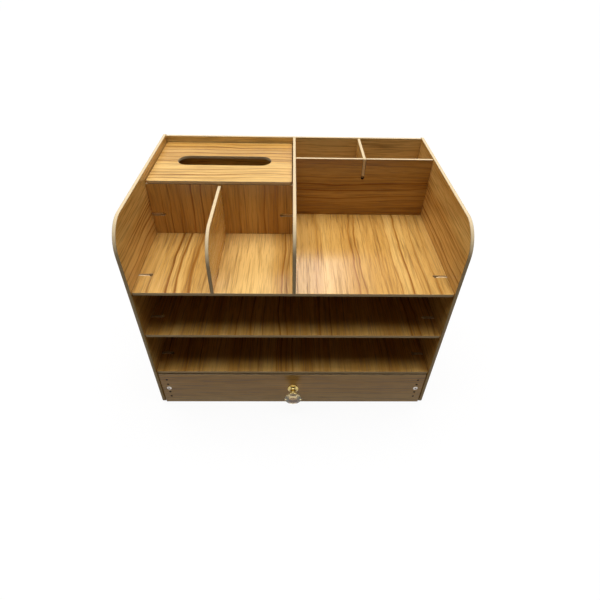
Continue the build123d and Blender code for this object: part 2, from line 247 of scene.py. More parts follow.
dark = maths(wood_print, "MULTIPLY", wide, scaled(wood_print, zone, *WIDE_DARK))
dark = scaled(wood_print, narrow, scaled(wood_print, zone, *NARROW_DARK), dark)
dark = product(wood_print, dark, scaled(wood_print, fade, *FADED_DARK), entry["Streaks"])
tones = lines(wood_print, ring, TONES_PER_METRE, shift, *TONE_LINES)
tones = maths(wood_print, "ADD", tones, entry["Tone"])
tone = wire(wood_print, "ShaderNodeValToRGB", {"Fac": tones})
for stop, (position, gold) in zip(tone.color_ramp.elements, TONE_STOPS):
    stop.position = position
    stop.color = gold
tone.color_ramp.elements.new(TONE_MIDDLE).color = GOLD
colour = darkened(wood_print, tone.outputs["Color"], dark, *RINGS_DARKEN)
fibre = scaled(wood_print, cloud(wood_print, sheet, *FIBRES), *FIBRE_SHADE)
long_pores = scaled(wood_print, blots(wood_print, sheet, *LONG_PORES), -LONG_PORE_DEPTH, 1.0)
short_pores = scaled(wood_print, blots(wood_print, sheet, *SHORT_PORES), -SHORT_PORE_DEPTH, 1.0)
shade = product(wood_print, fibre, long_pores, short_pores)
leave = wood_print.nodes.new("NodeGroupOutput").inputs
for name, value in (("Colour", colour), ("Shade", shade), ("Bend", bend), ("Fade", fade)):
    wood_print.links.new(value, leave[name])


def marked_streaks(tree, value, low, high, streaks):
    """Single dark streaks of one sheet, each sharp on one side and soft on the other."""
    feeds = {"Value": value, "From Min": low, "From Max": high}
    reach = wire(tree, "ShaderNodeMapRange", feeds).outputs["Result"]
    foot_at, foot_level = STREAK_FOOT
    total = None
    for first in range(0, len(streaks), STREAKS_IN_RAMP):
        stops = {}
        for place, width, strength in streaks[first:first + STREAKS_IN_RAMP]:
            sharp = math.copysign(STREAK_SHARP_SIDE, width)
            for at, level in ((-width, 0), (-width * foot_at, foot_level), (0, 1), (sharp, 0)):
                spot = ((place + at) / MM_IN_M - low) / (high - low)
                if 0 < spot < 1:
                    stops[spot] = level * strength
        ramp = wire(tree, "ShaderNodeValToRGB", {"Fac": reach})
        for end in ramp.color_ramp.elements:
            end.color = (0, 0, 0, 1)
        for spot, level in stops.items():
            ramp.color_ramp.elements.new(spot).color = (level, level, level, 1)
        level = wire(tree, "ShaderNodeSeparateColor", {0: ramp.outputs["Color"]}).outputs[0]
        total = level if total is None else maths(tree, "MAXIMUM", total, level)
    return total


def new_finish(name):
    """An empty finish, with its tree."""
    finish = bpy.data.materials.new(name)
    finish.use_nodes = True
    finish.node_tree.nodes.clear()
    return finish, finish.node_tree


def surface(tree, **sockets):
    """The shader of one finish, with its sockets named in words joined by an underscore."""
    feeds = {name.replace("_", " "): value for name, value in sockets.items()}
    shader = wire(tree, "ShaderNodeBsdfPrincipled", feeds)
    out = tree.nodes.new("ShaderNodeOutputMaterial")
    tree.links.new(shader.outputs["BSDF"], out.inputs["Surface"])


def axes(tree, vector):
    """The three parts of a place or a direction."""
    return wire(tree, "ShaderNodeSeparateXYZ", {0: vector}).outputs


def place_in(tree):
    """Where a point of a piece lies."""
    return tree.nodes.new("ShaderNodeTexCoord").outputs["Object"]


def patches(tree, where, per_metre, detail=2.0):
    """Soft random patches all through a piece."""
    feeds = {"Vector": where, "Scale": per_metre, "Detail": detail}
    return wire(tree, "ShaderNodeTexNoise", feeds).outputs["Fac"]


def relief(tree, height, strength, deep):
    """The fine relief of a surface."""
    feeds = {"Height": height, "Strength": strength, "Distance": deep}
    return wire(tree, "ShaderNodeBump", feeds).outputs["Normal"]


def printed_skin(
    node, grain, through, sheet_number, streaks=(), bands=(), banded_side=0,
    strength=0.7, tone=0.0, depth=1.0, gloss=0.24,
):
    """The print on a board's two faces. Its bands lie on both, or only on the banded side."""
    low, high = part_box(node)
    across = X + Y + Z - grain - through
    finish, tree = new_finish(node + "_print")
    where = tree.nodes.new("ShaderNodeTexCoord").outputs
    place = axes(tree, where["Object"])
    facing = axes(tree, where["Normal"])
    printed = tree.nodes.new("ShaderNodeGroup")
    printed.node_tree = wood_print
    face = scaled(tree, maths(tree, "SIGN", facing[through]), OTHER_FACE_SHIFT, sheet_number)
    for name, value in (("Across", place[across]), ("Along", place[grain]), ("Sheet", face)):
        tree.links.new(value, printed.inputs[name])
    printed.inputs["Streaks"].default_value = strength
    printed.inputs["Tone"].default_value = tone
    colour = printed.outputs["Colour"]
    bent = maths(tree, "ADD", printed.outputs["Bend"], place[across])
    for start, end, amount, towards in bands:
        rise = ((start - BAND_SOFT) / MM_IN_M, (start + BAND_SOFT) / MM_IN_M)
        fall = ((end + BAND_SOFT) / MM_IN_M, (end - BAND_SOFT) / MM_IN_M)
        share = maths(tree, "MULTIPLY", step_between(tree, bent, *rise), step_between(tree, bent, *fall))
        share = maths(tree, "MULTIPLY", share, amount)
        if banded_side:
            towards_it = maths(tree, "MULTIPLY", facing[through], banded_side)
            on_it = step_between(tree, towards_it, -SIDE_SOFT, SIDE_SOFT)
            share = maths(tree, "MULTIPLY", share, on_it)
        colour = tint(tree, share, colour, towards)
    if streaks:
        marked = marked_streaks(tree, bent, low[across], high[across], streaks)
        worn = scaled(tree, printed.outputs["Fade"], *STREAK_FADE)
        colour = darkened(tree, colour, maths(tree, "MULTIPLY", marked, worn), *STREAKS_DARKEN)
    shade = printed.outputs["Shade"]
    # A depth below 1 darkens the print as painted shade, on boards that stand in shade.
    colour = shaded(tree, colour, maths(tree, "MULTIPLY", shade, depth))
    rough = scaled(tree, shade, -PORE_ROUGH, gloss + PORE_ROUGH)
    pressed = relief(tree, shade, *PRINT_RELIEF)
    lacquer = {"Roughness": rough, "IOR": LACQUER_IOR, "Specular_IOR_Level": LACQUER_SHEEN}
    surface(tree, Base_Color=colour, Normal=pressed, **lacquer)
    return finish


def sawn_edge(node, through):
    """The bare pressed board of the cuts, with the skin's thin dark line along both sides, partly
    painted shade.
    """
    low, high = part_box(node)
    half = (high[through] - low[through]) / 2
    finish, tree = new_finish(node + "_sawn")
    where = place_in(tree)
    place = axes(tree, where)
    depth = maths(tree, "ABSOLUTE", maths(tree, "SUBTRACT", place[through], low[through] + half))
    skin_and_shade_line = step_between(tree, depth, half - SKIN_STARTS, half - SKIN_FULL)
    speck = patches(tree, where, CORE_SPECKS)
    # The skin's line: the print's layer, darkened as painted shade.
    colour = tint(tree, maths(tree, "MULTIPLY", skin_and_shade_line, SKIN_AND_SHADE_SHARE), CORE_CREAM, SKIN_AND_SHADE_BROWN)
    colour = shaded(tree, colour, scaled(tree, speck, *CORE_SHADE))
    rough = scaled(tree, speck, *CORE_ROUGH)
    sanded = relief(tree, speck, *CORE_RELIEF)
    surface(tree, Base_Color=colour, Roughness=rough, Normal=sanded, Specular_IOR_Level=CORE_SHEEN)
    return finish


def board(node, body, grain, sheet_number, streaks=(), shortest=0.0, **looks):
    """One board as it is sawn and drilled, its cuts' corners eased, in its own sheet of print."""
    low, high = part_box(node)
    through = min((X, Y, Z), key=lambda axis: high[axis] - low[axis])
    shape = bmesh.new()
    shape.from_mesh(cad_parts[node].data)
    bmesh.ops.remove_doubles(shape, verts=shape.verts, dist=WELD)
    bmesh.ops.dissolve_limit(shape, angle_limit=FLAT_ANGLE, verts=shape.verts, edges=shape.edges)
    corners = [
        e for e in shape.edges
        if e.is_manifold and e.is_convex
        and e.calc_face_angle() > CORNER_ANGLE and e.calc_length() > shortest
    ]
    eased = {"offset": EDGE_EASE, "segments": EASE_STEPS, "profile": 0.5, "affect": "EDGES"}
    bmesh.ops.bevel(shape, geom=corners, **eased)
    mesh = bpy.data.meshes.new(node + "_board")
    shape.to_mesh(mesh)
    shape.free()
    if "custom_normal" in mesh.attributes:
        mesh.attributes.remove(mesh.attributes["custom_normal"])
    mesh.shade_smooth()
    mesh.materials.append(printed_skin(node, grain, through, sheet_number, streaks, **looks))
    mesh.materials.append(sawn_edge(node, through))
    for face in mesh.polygons:
        face.material_index = PRINTED if abs(face.normal[through]) > FACE_ON else SAWN
    piece = bpy.data.objects.new(node + "_board", mesh)
    bpy.context.scene.collection.objects.link(piece)
    piece.modifiers.new("flat faces", "WEIGHTED_NORMAL")
    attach(piece, body)
    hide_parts(node)
    return piece


board("left_side_panel", "carcass", Y, 1.0, PANEL_STREAKS, gloss=PANEL_GLOSS)
board("right_side_panel", "carcass", Y, 2.0, PANEL_STREAKS, gloss=PANEL_GLOSS)

# Base panel, shelves and deck: flat boards between the side panels, of the same laminated board.
# Each end has two short slots with a round eye, and a screw through the side panel bites into each
# slot. The print runs from front to back on all four. On the two shelves, which lie in the deck's
# shade, it is darkened as painted shade.
# The shelves' painted shade: a deeper tone and a darker print.
SHELF_SHADE_TONE = -0.1
SHELF_SHADE_DEPTH = 0.88
LOWER_STREAKS = (
    (-154, 4, 0.5), (-129, 5, 0.6), (-112, 4, 0.5), (-41, 4, 0.5), (-20, 3, 0.5), (-15, 3, 0.6),
    (-9, 3, 0.5), (-1, 4, 0.6), (32, 5, 0.5), (115, 4, 0.6),
)
MIDDLE_STREAKS = (
    (-132, 4, 0.7), (-103, 4, 0.5), (-62, 4, 0.5), (-45, 5, 0.6), (-33, 3, 0.5), (-15, 4, 0.6),
    (-7, 4, 0.6), (30, 5, 0.6), (43, 4, 0.5), (131, 4, 0.7), (140, 4, 0.6),
)
DECK_STREAKS = (
    (-146, 6, 0.45), (-127, 8, 0.9), (-118, 6, 0.9), (-104, 10, 0.7), (-10, 5, 0.6), (-5, 4, 0.4),
    (6, 5, 0.4), (66, 7, 0.65), (72, 4, 0.6), (95, 3, 0.55), (99, 3, 0.55), (122.5, 6, 0.9),
    (139, 4, 0.5), (150, 5, 0.5), (84, 4, 0.4), (110, 4, 0.45), (131, 3, 0.45),
)
# The deck's broad bands in millimetres: from and to, how strong, and the colour.
DECK_BANDS = ((-78, -24, 0.75, GOLD_LIGHT), (44, 112, 0.65, GOLD_DEEP))
board("base_panel", "carcass", Y, 3.0)
board("lower_shelf", "carcass", Y, 4.0, LOWER_STREAKS, tone=SHELF_SHADE_TONE, depth=SHELF_SHADE_DEPTH)
board("middle_shelf", "carcass", Y, 5.0, MIDDLE_STREAKS, tone=SHELF_SHADE_TONE, depth=SHELF_SHADE_DEPTH)
board("top_deck", "carcass", Y, 6.0, DECK_STREAKS, bands=DECK_BANDS)

# Back panel: one board across the whole back, let in between the side panels and screwed through
# them. Its print runs from side to side, with a straw-pale band of painted light along the top of
# the inner face.
# A band of painted light: the inner face paler at its top, where the light falls.
PAINTED_LIGHT_STRAW = (0.87, 0.65, 0.26, 1)
BACK_LIGHT_BANDS = ((200, 262, 0.9, PAINTED_LIGHT_STRAW),)
INNER_SIDE = -1
board("back_panel", "carcass", X, 7.0, bands=BACK_LIGHT_BANDS, banded_side=INNER_SIDE)

# Walls and dividers on the deck: boards that part the top into cells, held by screws, tenons and
# one lap slot in the pen wall, which ends in a small hole with its wall painted dark as shade. The
# centre divider has the side panels' rounded front. The tissue wall's print stands, the pen wall's
# lies across, and both walls are darkened as painted shade.
SMALL_HOLE_EDGE = 0.00045
HOLE_FROM_EDGE = 0.002
HOLE_WALL = 0.1
SHADED_BORE = 2
BORE_PATCHES = 900.0
BORE_BLEND = (0.4, 0.7)
# The dark of the small holes' walls is painted shade.
BORE_SHADE = (0.075, 0.045, 0.022, 1)
BORE_SHADE_PALE = (0.16, 0.10, 0.05, 1)
TISSUE_STREAKS = (
    (-141, 4, 0.4), (-129, 5, 0.45), (-113, 6, 0.8), (-101, 6, 0.7), (-88, 4, 0.35), (-60, 5, 0.3),
    (-33, 5, 0.4), (-20, 4, 0.35), (-10, 4, 0.35),
)
# The tissue wall's print is darkened as painted shade.
TISSUE_SHADE_DEPTH = 0.9
PEN_STREAKS = ((203, 4, 0.25), (209, 5, 0.4), (219, 5, 0.5), (227, 6, 0.6), (236, 4, 0.25))
# The pen wall's streaks are print; its deeper tone and darker print are painted shade.
PEN_LOOKS_AND_SHADE = {"strength": 0.6, "tone": -0.05, "depth": 0.70}


def painted_hole_shade_bore(name):
    """The wall of a small hole, painted dark as shade."""
    finish, tree = new_finish(name)
    patch = patches(tree, place_in(tree), BORE_PATCHES)
    colour = tint(tree, step_between(tree, patch, *BORE_BLEND), BORE_SHADE, BORE_SHADE_PALE)
    rough = scaled(tree, patch, *CORE_ROUGH)
    surface(tree, Base_Color=colour, Roughness=rough, Specular_IOR_Level=CORE_SHEEN)
    return finish


painted_hole_shade = painted_hole_shade_bore("painted_hole_shade_bore")


def shade_painted_holes(piece, node):
    """The small round holes through an upright board, their walls given painted shade."""
    low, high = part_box(node)
    mesh = piece.data
    mesh.materials.append(painted_hole_shade)
    for face in mesh.polygons:
        corners = [mesh.vertices[i].co for i in face.vertices]
        shortest = min((a - b).length for a, b in zip(corners, corners[1:] + corners[:1]))
        clear = min(min(face.center[k] - low[k], high[k] - face.center[k]) for k in (X, Z))
        on_wall = abs(face.normal[Y]) < HOLE_WALL
        if shortest < SMALL_HOLE_EDGE and on_wall and clear > HOLE_FROM_EDGE:
            face.material_index = SHADED_BORE


board("centre_divider", "carcass", Y, 8.0)
board("tissue_front_wall", "carcass", Z, 9.0, TISSUE_STREAKS, depth=TISSUE_SHADE_DEPTH)
board("tissue_rear_rail", "carcass", X, 10.0)
board("small_divider", "carcass", Y, 11.0)
pen_wall = board("pen_wall", "carcass", X, 12.0, PEN_STREAKS, SMALL_HOLE_EDGE, **PEN_LOOKS_AND_SHADE)
# The wall of the pen wall's small hole gets painted shade.
shade_painted_holes(pen_wall, "pen_wall")
board("pen_divider", "carcass", Y, 13.0)

# Screws: zinc-plated steel wood screws with raised countersunk heads and a cross recess, turned in
# by hand. The same screw holds the carcass and the drawer, and its thread shows in the end slots,
# pale with the dust of the board.
SCREW_LENGTH = 0.015
SCREW_AROUND = 20
HEAD_R = 0.0028
HEAD_RISE = 0.00048
DOME_STEPS = 6
RIM_AT = 0.0002
RIM_EASE = 0.00003
SHANK_R = 0.0014
SMOOTH_SHARE = 0.93
SMOOTH_END = 0.0038
DUST_FROM = 0.0030
ROOT_R = 0.00118
PITCH = 0.0011
POINT = 0.0025
POINT_SHARE = 0.25
RINGS_IN_PITCH = 8
RIDGE_HALF = 0.26
RECESS_WIDE = 0.0036
RECESS_DEEP = 0.0009
RECESS_FROM = 0.00004
# The recess's arms: their length and thickness as shares of its width, at the top and at the floor.
ARM_TOP = (1.0, 0.25)
ARM_FLOOR = (0.45, 0.17)
SHARP_EDGE = math.radians(35)
PLATED, SHADED_RECESS, DUSTY = 0, 1, 2
ZINC = (0.72, 0.67, 0.60, 1)
ZINC_DULL = (0.50, 0.46, 0.40, 1)
# The cross recess's painted shade: dark, and darker.
RECESS_SHADE = (0.12, 0.11, 0.10, 1)
RECESS_SHADE_DEEP = (0.05, 0.045, 0.04, 1)
ZINC_PATCHES = (420.0, 3.0)
ZINC_BLEND = (0.35, 0.68)
ZINC_ROUGH = (0.25, 0.18)
DUST = (0.84, 0.66, 0.40, 1)
DUST_DEEP = (0.62, 0.47, 0.27, 1)
DUST_PATCHES = 900.0
DUST_BLEND = (0.4, 0.65)
DUST_ROUGH = (0.3, 0.3)
DUST_METAL = 0.5


def zinc_plate(name, bright, dull):
    """Zinc with dull patches from handling; in dark colours, the painted shade of a recess."""
    finish, tree = new_finish(name)
    patch = patches(tree, place_in(tree), *ZINC_PATCHES)
    colour = tint(tree, step_between(tree, patch, *ZINC_BLEND), bright, dull)
    rough = scaled(tree, patch, *ZINC_ROUGH)
    surface(tree, Base_Color=colour, Roughness=rough, Metallic=1.0)
    return finish


def dusty_thread(name):
    """A thread that holds the pale dust of the board it was driven through."""
    finish, tree = new_finish(name)
    patch = patches(tree, place_in(tree), DUST_PATCHES)
    colour = tint(tree, step_between(tree, patch, *DUST_BLEND), DUST, DUST_DEEP)
    rough = scaled(tree, patch, *DUST_ROUGH)
    surface(tree, Base_Color=colour, Roughness=rough, Metallic=DUST_METAL)
    return finish


def turned_rings(rings, around):
    """A closed skin over rings of points, one ring after the other along X."""
    shape = bmesh.new()
    turn = [i * 2 * math.pi / around for i in range(around)]
    loops = []
    for along, radii in rings:
        points = [(along, r * math.cos(a), r * math.sin(a)) for r, a in zip(radii, turn)]
        loops.append([shape.verts.new(point) for point in points])
    for near, far in zip(loops, loops[1:]):
        for i in range(around):
            j = (i + 1) % around
            shape.faces.new((near[i], near[j], far[j], far[i]))
    shape.faces.new(list(reversed(loops[0])))
    shape.faces.new(loops[-1])
    bmesh.ops.recalc_face_normals(shape, faces=shape.faces)
    return shape


def dome_at(out_from_axis):
    """How far along X the screw's raised head lies at a distance from its axis, 0 at the rim."""
    dome_r = (HEAD_R**2 + HEAD_RISE**2) / (2 * HEAD_RISE)
    return math.sqrt(dome_r**2 - HEAD_R**2) - math.sqrt(dome_r**2 - out_from_axis**2)


def cross_recessed(shape, wide, deep, top_at):
    """A screw along X with a tapered cross driven into its head, painted dark inside as shade.

    The last value gives how far along X the head's top lies at a distance from the axis.
    """
    mesh = bpy.data.meshes.new("screw")
    shape.to_mesh(mesh)
    shape.free()
    blank = bpy.data.objects.new("screw_blank", mesh)
    bpy.context.scene.collection.objects.link(blank)
    arms = []
    for across in (False, True):
        arm = bmesh.new()
        bmesh.ops.create_cube(arm, size=1.0)
        for v in arm.verts:
            inner = v.co.x > 0
            length, thick = ARM_FLOOR if inner else ARM_TOP
            at = deep if inner else -deep
            v.co = Vector((at, v.co.y * (wide * length), v.co.z * (wide * thick)))
        if across:
            quarter_turn = Matrix.Rotation(math.pi / 2, 3, "X")
            bmesh.ops.rotate(arm, verts=arm.verts, matrix=quarter_turn)
        arm_mesh = bpy.data.meshes.new("recess_arm")
        arm.to_mesh(arm_mesh)
        arm.free()
        cutter = bpy.data.objects.new("recess_arm", arm_mesh)
        bpy.context.scene.collection.objects.link(cutter)
        hollow = blank.modifiers.new("recess", "BOOLEAN")
        hollow.operation = "DIFFERENCE"
        hollow.object = cutter
        arms.append(cutter)
    bpy.context.view_layer.update()
    driven = blank.evaluated_get(bpy.context.evaluated_depsgraph_get())
    cut = bpy.data.meshes.new_from_object(driven)
    for used in [blank, *arms]:
        bpy.data.objects.remove(used)
    for facet in cut.polygons:
        out_from_axis = math.hypot(facet.center.y, facet.center.z)
        sunk = facet.center.x - top_at(out_from_axis)
        in_recess = out_from_axis < wide / 2 and RECESS_FROM < sunk < 2 * deep
        facet.material_index = SHADED_RECESS if in_recess else PLATED
    return cut


def threaded(rings, start, end, outer, root, pitch, point, around):
    """More rings for a threaded shank, with the thread running in and the tip tapered."""
    count = round((end - start) / pitch * RINGS_IN_PITCH)
    smooth = outer * SMOOTH_SHARE
    for step in range(1, count + 1):
        along = start + (end - start) * step / count
        taper = min(1.0, max(0.0, (end - along) / point))
        grown = min(1.0, (along - start) / pitch)
        core = smooth + (root - smooth) * grown
        radii = []
        for i in range(around):
            phase = (along / pitch - i / around) % 1.0
            ridge = max(0.0, 1 - abs(phase - 0.5) / RIDGE_HALF)
            radius = core + (outer - core) * ridge
            radii.append(radius * (POINT_SHARE + (1 - POINT_SHARE) * taper))
        rings.append((along, radii))


def wood_screw():
    """One wood screw along X: dome, countersink, threaded shank and point."""
    profile = []
    for step in range(1, DOME_STEPS + 1):
        r = HEAD_R * step / DOME_STEPS
        profile.append((dome_at(r), r))
    profile.append((RIM_AT, HEAD_R - RIM_EASE))
    profile.append((HEAD_R - SHANK_R, SHANK_R * SMOOTH_SHARE))
    profile.append((SMOOTH_END, SHANK_R * SMOOTH_SHARE))
    rings = [(along, [r] * SCREW_AROUND) for along, r in profile]
    threaded(rings, SMOOTH_END, SCREW_LENGTH, SHANK_R, ROOT_R, PITCH, POINT, SCREW_AROUND)
    blank = turned_rings(rings, SCREW_AROUND)
    screw = cross_recessed(blank, RECESS_WIDE, RECESS_DEEP, dome_at)
    for facet in screw.polygons:
        if facet.center.x > DUST_FROM:
            facet.material_index = DUSTY
    return screw


def screw_places(node):
    """Where each screw of a packed group sits, with X running in from its head."""
    shape = bmesh.new()
    shape.from_mesh(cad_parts[node].data)
    bmesh.ops.remove_doubles(shape, verts=shape.verts, dist=WELD)
    left = set(shape.verts)
    places = []
    while left:
        reached = [left.pop()]
        for v in reached:
            for e in v.link_edges:
                other = e.other_vert(v)
                if other in left:
                    left.remove(other)
                    reached.append(other)
        points = [v.co.copy() for v in reached]
        low = Vector([min(p[k] for p in points) for k in (X, Y, Z)])
        high = Vector([max(p[k] for p in points) for k in (X, Y, Z)])
        axis = max((X, Y, Z), key=lambda k: (high - low)[k])
        middle = (low + high) / 2
        sideways = [k for k in (X, Y, Z) if k != axis]
        rim = max(points, key=lambda p: sum((p[k] - middle[k]) ** 2 for k in sideways))
        inward = Vector((0, 0, 0))
        inward[axis] = 1.0 if rim[axis] < middle[axis] else -1.0
        head = middle.copy()
        head[axis] = (low if inward[axis] > 0 else high)[axis] + inward[axis] * HEAD_RISE
        places.append((head, inward))
    shape.free()
    places.sort(key=lambda item: tuple(round(c, 5) for c in item[0]))
    return places


plain_screw = wood_screw()
zinc = zinc_plate("zinc_plated_steel", ZINC, ZINC_DULL)
# The cross recess's finish is painted shade: zinc made dark where little light gets in.
recess_shade_zinc = zinc_plate("painted_recess_shade", RECESS_SHADE, RECESS_SHADE_DEEP)
dusty_zinc = dusty_thread("dusty_thread")
screw_finishes = (zinc, recess_shade_zinc, dusty_zinc)
turns = random.Random(11)


def fixed_metal(name, shape, finishes, node, body):
    """One hard piece from a finished shape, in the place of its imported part."""
    mesh = bpy.data.meshes.new(name)
    shape.to_mesh(mesh)
    shape.free()
    mesh.shade_smooth()
    mesh.set_sharp_from_angle(angle=SHARP_EDGE)
    for finish in finishes:
        mesh.materials.append(finish)
    piece = bpy.data.objects.new(name, mesh)
    bpy.context.scene.collection.objects.link(piece)
    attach(piece, body)
    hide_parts(node)
    return piece


def screw_set(node, body):
    """All screws of one group as one piece, each turned to its own angle."""
    shape = bmesh.new()
    for head, inward in screw_places(node):
        spot = inward.to_track_quat("X", "Z").to_matrix().to_4x4()
        turned = Matrix.Rotation(turns.uniform(0, math.pi), 4, "X")
        spot = Matrix.Translation(head) @ spot @ turned
        before = len(shape.verts)
        shape.from_mesh(plain_screw)
        shape.verts.ensure_lookup_table()
        bmesh.ops.transform(shape, matrix=spot, verts=shape.verts[before:])
    fixed_metal(node + "_threaded", shape, screw_finishes, node, body)


for group in (
    "left_panel_screws", "right_panel_screws", "tissue_wall_screw", "deck_screws",
    "back_panel_screws",
):
    screw_set(group, "carcass")

# Tissue lid: a loose board over the tissue box with a long round-ended slot, its print from side to
# side. It lies on the tissue wall and on the rail along the back panel, and lifts off.
LID_STREAKS = (
    (107, 4, 0.75), (98, 6, 1.0), (90, 4, 0.75), (81, 5, 0.95), (70, 4, 0.65), (61, 4, 0.85),
    (57, 3, 0.65), (37, 4, 0.5), (30, 3, 0.45), (24, 5, 0.75), (15, 4, 0.55),
)
LID_BANDS = ((2, 50, 0.65, GOLD_LIGHT), (64, 116, 0.5, GOLD_DEEP))
board("tissue_lid", "lid", X, 14.0, LID_STREAKS, bands=LID_BANDS)

# Drawer: five boards. The sides are screwed between the front and the back, and the bottom is
# tenoned into the sides. The front has the knob's hole in its middle and a row of four small
# drilled holes at each end.
FRONT_LOOKS = {"shortest": SMALL_HOLE_EDGE, "strength": 0.45}
drawer_front = board("drawer_front", "drawer", X, 15.0, **FRONT_LOOKS)
# The walls of the drawer front's small holes get painted shade.
shade_painted_holes(drawer_front, "drawer_front")
board("drawer_left_side", "drawer", Y, 16.0)
board("drawer_right_side", "drawer", Y, 17.0)
board("drawer_back", "drawer", X, 18.0)
board("drawer_bottom", "drawer", X, 19.0)
for group in ("drawer_front_screws", "drawer_back_screws"):
    screw_set(group, "drawer")

# Knob: a turned brass foot with a trumpet-shaped waist and a collar, and a head of heavy, slightly
# smoky crystal cut in flat facets. It stands on the middle of the drawer front.
BRASS = (0.66, 0.50, 0.19, 1)
BRASS_DEEP = (0.42, 0.30, 0.08, 1)
BRASS_PATCHES = 260.0
BRASS_BLEND = (0.35, 0.75)
BRASS_ROUGH = (0.14, 0.07)
BRASS_RELIEF = (0.08, 0.00002)
TURNING_MARKS = (5200.0, 0.0, 2.0, 0.6)
FOOT_AROUND = 64
# The foot in millimetres: how far out from the drawer front, and the radius there.
FOOT_PROFILE = (
    (0.0, 6.4), (0.1, 6.65), (0.3, 6.8), (0.8, 6.8), (1.15, 6.65), (1.35, 6.3), (1.45, 5.7),
    (1.7, 5.25), (2.1, 4.7), (2.6, 4.2), (3.2, 3.8), (3.9, 3.5), (4.6, 3.4), (5.3, 3.4),
    (5.9, 3.55), (6.4, 3.75), (6.9, 4.1), (7.2, 4.3), (7.5, 4.52), (7.9, 4.66), (8.3, 4.7),
    (8.7, 4.66), (9.0, 4.56), (9.3, 4.38), (9.5, 4.2), (9.6, 4.0),
)
CRYSTAL_SMOKE = (0.48, 0.36, 0.16, 1)
CRYSTAL_PALE = (0.62, 0.48, 0.24, 1)
CRYSTAL_IOR = 1.68
HAZE_PATCHES = 300.0
HAZE_BLEND = (0.5, 0.8)
HAZE_ROUGH = 0.04
CRYSTAL_SIDES = 12
# The crystal's rings of corners: how far out from the foot, the radius, and the turn in facets.
CRYSTAL_RINGS = (
    (0.02, 4.2, 0.0), (2.6, 7.3, 0.5), (5.8, 10.3, 0.0), (6.6, 10.3, 0.0), (7.4, 8.0, 0.5),
    (8.2, 5.2, 0.0),
)


def polished_brass(name):
    """Plated brass with faint turning marks round its axis."""
    finish, tree = new_finish(name)
    where = place_in(tree)
    marks = lines(tree, axes(tree, where)[Y], *TURNING_MARKS)
    patch = patches(tree, where, BRASS_PATCHES)
    colour = tint(tree, step_between(tree, patch, *BRASS_BLEND), BRASS, BRASS_DEEP)
    rough = scaled(tree, patch, *BRASS_ROUGH)
    turned = relief(tree, marks, *BRASS_RELIEF)
    surface(tree, Base_Color=colour, Roughness=rough, Metallic=1.0, Normal=turned)
    return finish


def clear_glass(name):
    """Clear cut glass with faint polishing haze."""
    finish, tree = new_finish(name)
    haze = patches(tree, place_in(tree), HAZE_PATCHES)
    rough = maths(tree, "MULTIPLY", step_between(tree, haze, *HAZE_BLEND), HAZE_ROUGH)
    colour = tint(tree, haze, CRYSTAL_SMOKE, CRYSTAL_PALE)
    surface(tree, Base_Color=colour, Roughness=rough, IOR=CRYSTAL_IOR, Transmission_Weight=1.0)
    return finish


def knob_spot(node):
    """Where a piece of the knob starts on the drawer's side, with X out along the knob's axis."""
    low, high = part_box(node)
    start = Vector(((low.x + high.x) / 2, high.y, (low.z + high.z) / 2))
    return Matrix.Translation(start) @ Matrix.Rotation(-math.pi / 2, 4, "Z")


def turned_profile(profile, around):
    """The rings of a turned piece, from a profile in millimetres."""
    return [(along / MM_IN_M, [r / MM_IN_M] * around) for along, r in profile]


def cut_crystal():
    """The faceted head along X: rings of corners, each turned half a facet against the next."""
    shape = bmesh.new()
    loops = []
    for along, r, turned in CRYSTAL_RINGS:
        loop = []
        for i in range(CRYSTAL_SIDES):
            angle = (i + turned) * 2 * math.pi / CRYSTAL_SIDES
            corner = (along, r * math.cos(angle), r * math.sin(angle))
            loop.append(shape.verts.new([c / MM_IN_M for c in corner]))
        loops.append(loop)
    for step, (near, far) in enumerate(zip(loops, loops[1:])):
        change = CRYSTAL_RINGS[step + 1][2] - CRYSTAL_RINGS[step][2]
        for i in range(CRYSTAL_SIDES):
            j = (i + 1) % CRYSTAL_SIDES
            if change == 0:
                shape.faces.new((near[i], near[j], far[j], far[i]))
            elif change > 0:
                shape.faces.new((near[i], near[j], far[i]))
                shape.faces.new((near[j], far[j], far[i]))
            else:
                shape.faces.new((near[i], far[j], far[i]))
                shape.faces.new((near[i], near[j], far[j]))
    shape.faces.new(loops[0])
    shape.faces.new(loops[-1])
    bmesh.ops.recalc_face_normals(shape, faces=shape.faces)
    return shape


brass = polished_brass("knob_brass_plate")
foot = turned_rings(turned_profile(FOOT_PROFILE, FOOT_AROUND), FOOT_AROUND)
bmesh.ops.transform(foot, matrix=knob_spot("knob_base"), verts=foot.verts)
fixed_metal("knob_base_turned", foot, (brass,), "knob_base", "drawer")

glass = clear_glass("cut_crystal")
crystal = cut_crystal()
bmesh.ops.transform(crystal, matrix=knob_spot("knob_crystal"), verts=crystal.verts)
crystal_piece = fixed_metal(
    "knob_crystal_cut", crystal, (glass,), "knob_crystal", "drawer",
)
crystal_piece.data.shade_flat()

# Knob screw: a zinc-plated machine screw with a pan head and a cross recess. It goes through the
# drawer front from inside the drawer and pulls the brass foot against the front.
MACHINE_SCREW_LENGTH = 0.0129
MACHINE_SCREW_R = 0.002
MACHINE_SCREW_AROUND = 32
MACHINE_ROOT_R = 0.00165
MACHINE_PITCH = 0.0007
MACHINE_POINT = 0.0004
PAN_THICK = 0.0024
PAN_TOP = 0.00004
PAN_TURN = math.radians(20)
PAN_RECESS_WIDE = 0.0042
PAN_RECESS_DEEP = 0.0015
